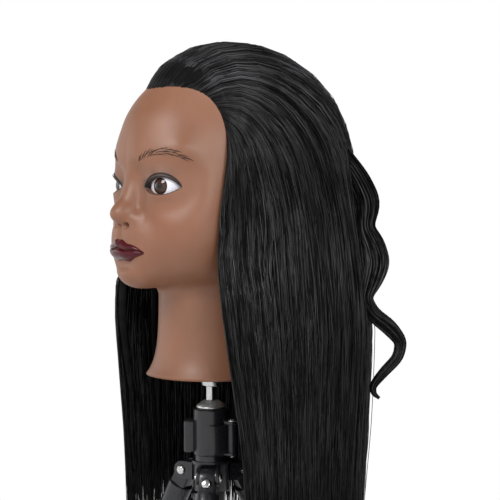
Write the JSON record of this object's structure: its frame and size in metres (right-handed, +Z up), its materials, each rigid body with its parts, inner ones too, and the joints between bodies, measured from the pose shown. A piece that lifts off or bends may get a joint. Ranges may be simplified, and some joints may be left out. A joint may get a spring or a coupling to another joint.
{
  "type": "mannequin training head",
  "caption": "Hairdressing mannequin training head with long straight black hair, on a small folding tripod with a clamped sliding column.",
  "frame": {"origin": "on the floor, on the axis of the column", "axes": "+Z up, the face looks towards -Y, +X is the side of the head's left ear"},
  "size_m": [0.3533, 0.3377, 0.7264],
  "materials": {
    "brown_vinyl": "satin soft vinyl",
    "eye_plastic": "glossy, painted brown iris",
    "black_hair": "straight, silky",
    "black_plastic": "satin moulded",
    "neck_plastic": "moulded",
    "aluminium_tube": "drawn, satin",
    "bright_steel": "bright turned",
    "foot_rubber": "matt",
    "lip_paint": "glossy burgundy paint",
    "eye_paint": "black and brown paint and lashes"
  },
  "bodies": {
    "tripod": {"tripod_hub": "black_plastic", "clamp_collar": "black_plastic", "clamp_pin": "bright_steel", "leg_1_pivot_screw": "bright_steel", "leg_2_pivot_screw": "bright_steel", "leg_3_pivot_screw": "bright_steel"},
    "clamp_lever": {"clamp_lever": "black_plastic"},
    "column": {"column_tube": "aluminium_tube", "column_cap": "bright_steel", "column_end_cap": "black_plastic", "threaded_rod": "bright_steel"},
    "plug": {"jam_nut": "bright_steel", "head_plug": "black_plastic"},
    "head": {"head_skin": "brown_vinyl", "left_eye": "eye_plastic", "right_eye": "eye_plastic", "neck_socket": "neck_plastic", "neck_plate": "neck_plastic", "hair_crown": "black_hair", "hair_left": "black_hair", "hair_right": "black_hair", "hair_back": "black_hair", "curled_lock": "black_hair"},
    "leg_1": {"leg_1_knuckle": "black_plastic", "leg_1_tube_screw": "bright_steel", "leg_1_upper_tube": "aluminium_tube", "leg_1_lock_collar": "black_plastic", "leg_1_lock_pin": "bright_steel"},
    "leg_1_lock": {"leg_1_lock_lever": "black_plastic"},
    "leg_1_lower": {"leg_1_lower_tube": "aluminium_tube", "leg_1_foot": "foot_rubber"},
    "leg_2": {"leg_2_knuckle": "black_plastic", "leg_2_tube_screw": "bright_steel", "leg_2_upper_tube": "aluminium_tube", "leg_2_lock_collar": "black_plastic", "leg_2_lock_pin": "bright_steel"},
    "leg_2_lock": {"leg_2_lock_lever": "black_plastic"},
    "leg_2_lower": {"leg_2_lower_tube": "aluminium_tube", "leg_2_foot": "foot_rubber"},
    "leg_3": {"leg_3_knuckle": "black_plastic", "leg_3_tube_screw": "bright_steel", "leg_3_upper_tube": "aluminium_tube", "leg_3_lock_collar": "black_plastic", "leg_3_lock_pin": "bright_steel"},
    "leg_3_lock": {"leg_3_lock_lever": "black_plastic"},
    "leg_3_lower": {"leg_3_lower_tube": "aluminium_tube", "leg_3_foot": "foot_rubber"}
  },
  "joints": [
    {"name": "clamp_lever_turn", "type": "hinge", "parent": "tripod", "child": "clamp_lever", "pos_m": [0.01898, 0.00967, 0.3715], "axis": [0, 0, 1], "range_deg": [0, 120]},
    {"name": "column_slide", "type": "slide", "parent": "tripod", "child": "column", "axis": [0, 0, 1], "range_m": [0, 0.19]},
    {"name": "head_turn", "type": "hinge", "parent": "column", "child": "plug", "pos_m": [0, 0, 0.43], "axis": [0, 0, 1], "continuous": true},
    {"name": "head_lift", "type": "slide", "parent": "plug", "child": "head", "axis": [0, 0, 1], "range_m": [0, 0.075]},
    {"name": "leg_1_fold", "type": "hinge", "parent": "tripod", "child": "leg_1", "pos_m": [0.02068, -0.01735, 0.34], "axis": [0.6428, 0.766, 0], "range_deg": [0, 27]},
    {"name": "leg_1_lock_turn", "type": "hinge", "parent": "leg_1", "child": "leg_1_lock", "pos_m": [0.10596, -0.06843, 0.15994], "axis": [-0.3478, 0.2918, 0.891], "range_deg": [0, 100]},
    {"name": "leg_1_extend", "type": "slide", "parent": "leg_1", "child": "leg_1_lower", "axis": [0.3478, -0.2918, -0.891], "range_m": [-0.12, 0]},
    {"name": "leg_2_fold", "type": "hinge", "parent": "tripod", "child": "leg_2", "pos_m": [0.00469, 0.02659, 0.34], "axis": [-0.9848, 0.1736, 0], "range_deg": [0, 27]},
    {"name": "leg_2_lock_turn", "type": "hinge", "parent": "leg_2", "child": "leg_2_lock", "pos_m": [0.00628, 0.12598, 0.15994], "axis": [-0.0788, -0.4471, 0.891], "range_deg": [0, 100]},
    {"name": "leg_2_extend", "type": "slide", "parent": "leg_2", "child": "leg_2_lower", "axis": [0.0788, 0.4471, -0.891], "range_m": [-0.12, 0]},
    {"name": "leg_3_fold", "type": "hinge", "parent": "tripod", "child": "leg_3", "pos_m": [-0.02537, -0.00924, 0.34], "axis": [0.342, -0.9397, 0], "range_deg": [0, 27]},
    {"name": "leg_3_lock_turn", "type": "hinge", "parent": "leg_3", "child": "leg_3_lock", "pos_m": [-0.11224, -0.05755, 0.15994], "axis": [0.4266, 0.1553, 0.891], "range_deg": [0, 100]},
    {"name": "leg_3_extend", "type": "slide", "parent": "leg_3", "child": "leg_3_lower", "axis": [-0.4266, -0.1553, -0.891], "range_m": [-0.12, 0]}
  ]
}
